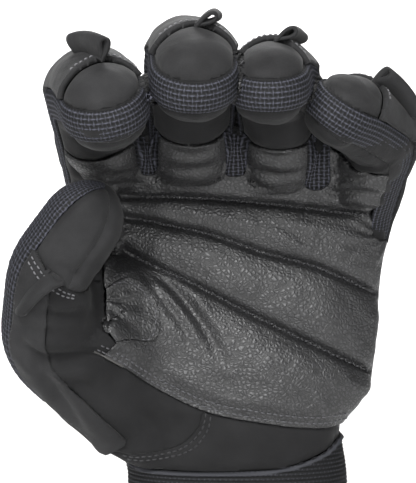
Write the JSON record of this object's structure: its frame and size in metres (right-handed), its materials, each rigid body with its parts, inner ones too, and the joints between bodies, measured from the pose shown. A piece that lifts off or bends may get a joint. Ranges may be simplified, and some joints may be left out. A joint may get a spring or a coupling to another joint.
{
  "type": "weightlifting glove",
  "caption": "Full-finger left-hand training glove with a padded leather palm, knit side bands, pull tabs and an elastic cuff.",
  "frame": {"origin": "middle of the open wrist end, where the glove sits on the wrist", "axes": "+Z from the wrist towards the fingers, -Y out of the palm, -X towards the thumb"},
  "size_m": [0.1311, 0.1038, 0.1753],
  "materials": {
    "leather": "pebbled, semi-gloss",
    "fabric": "smooth brushed microfibre, matt",
    "knit": "open spacer knit, matt",
    "rib": "elastic rib knit, matt"
  },
  "bodies": {
    "root": {"wrist_cuff": "rib", "heel_panel": "fabric", "palm_leather": "leather", "back_panel": "fabric", "thumb_base_panel": "fabric", "thumb_crotch_patch": "leather", "thumb_back_panel": "fabric", "thumb_knit_band": "knit", "thumb_nail_cap": "fabric", "thumb_tip_pad": "fabric", "thumb_pull_tab": "fabric", "index_knit_band": "knit", "index_nail_cap": "fabric", "index_back_panel": "fabric", "index_tip_pad": "fabric", "index_pull_tab": "fabric", "middle_knit_band": "knit", "middle_nail_cap": "fabric", "middle_back_panel": "fabric", "middle_tip_pad": "fabric", "middle_pull_tab": "fabric", "ring_knit_band": "knit", "ring_nail_cap": "fabric", "ring_back_panel": "fabric", "ring_tip_pad": "fabric", "ring_pull_tab": "fabric", "little_knit_band": "knit", "little_nail_cap": "fabric", "little_back_panel": "fabric", "little_tip_pad": "fabric", "little_pull_tab": "fabric", "index_middle_gusset": "knit", "middle_ring_gusset": "knit", "ring_little_gusset": "knit"}
  },
  "joints": []
}
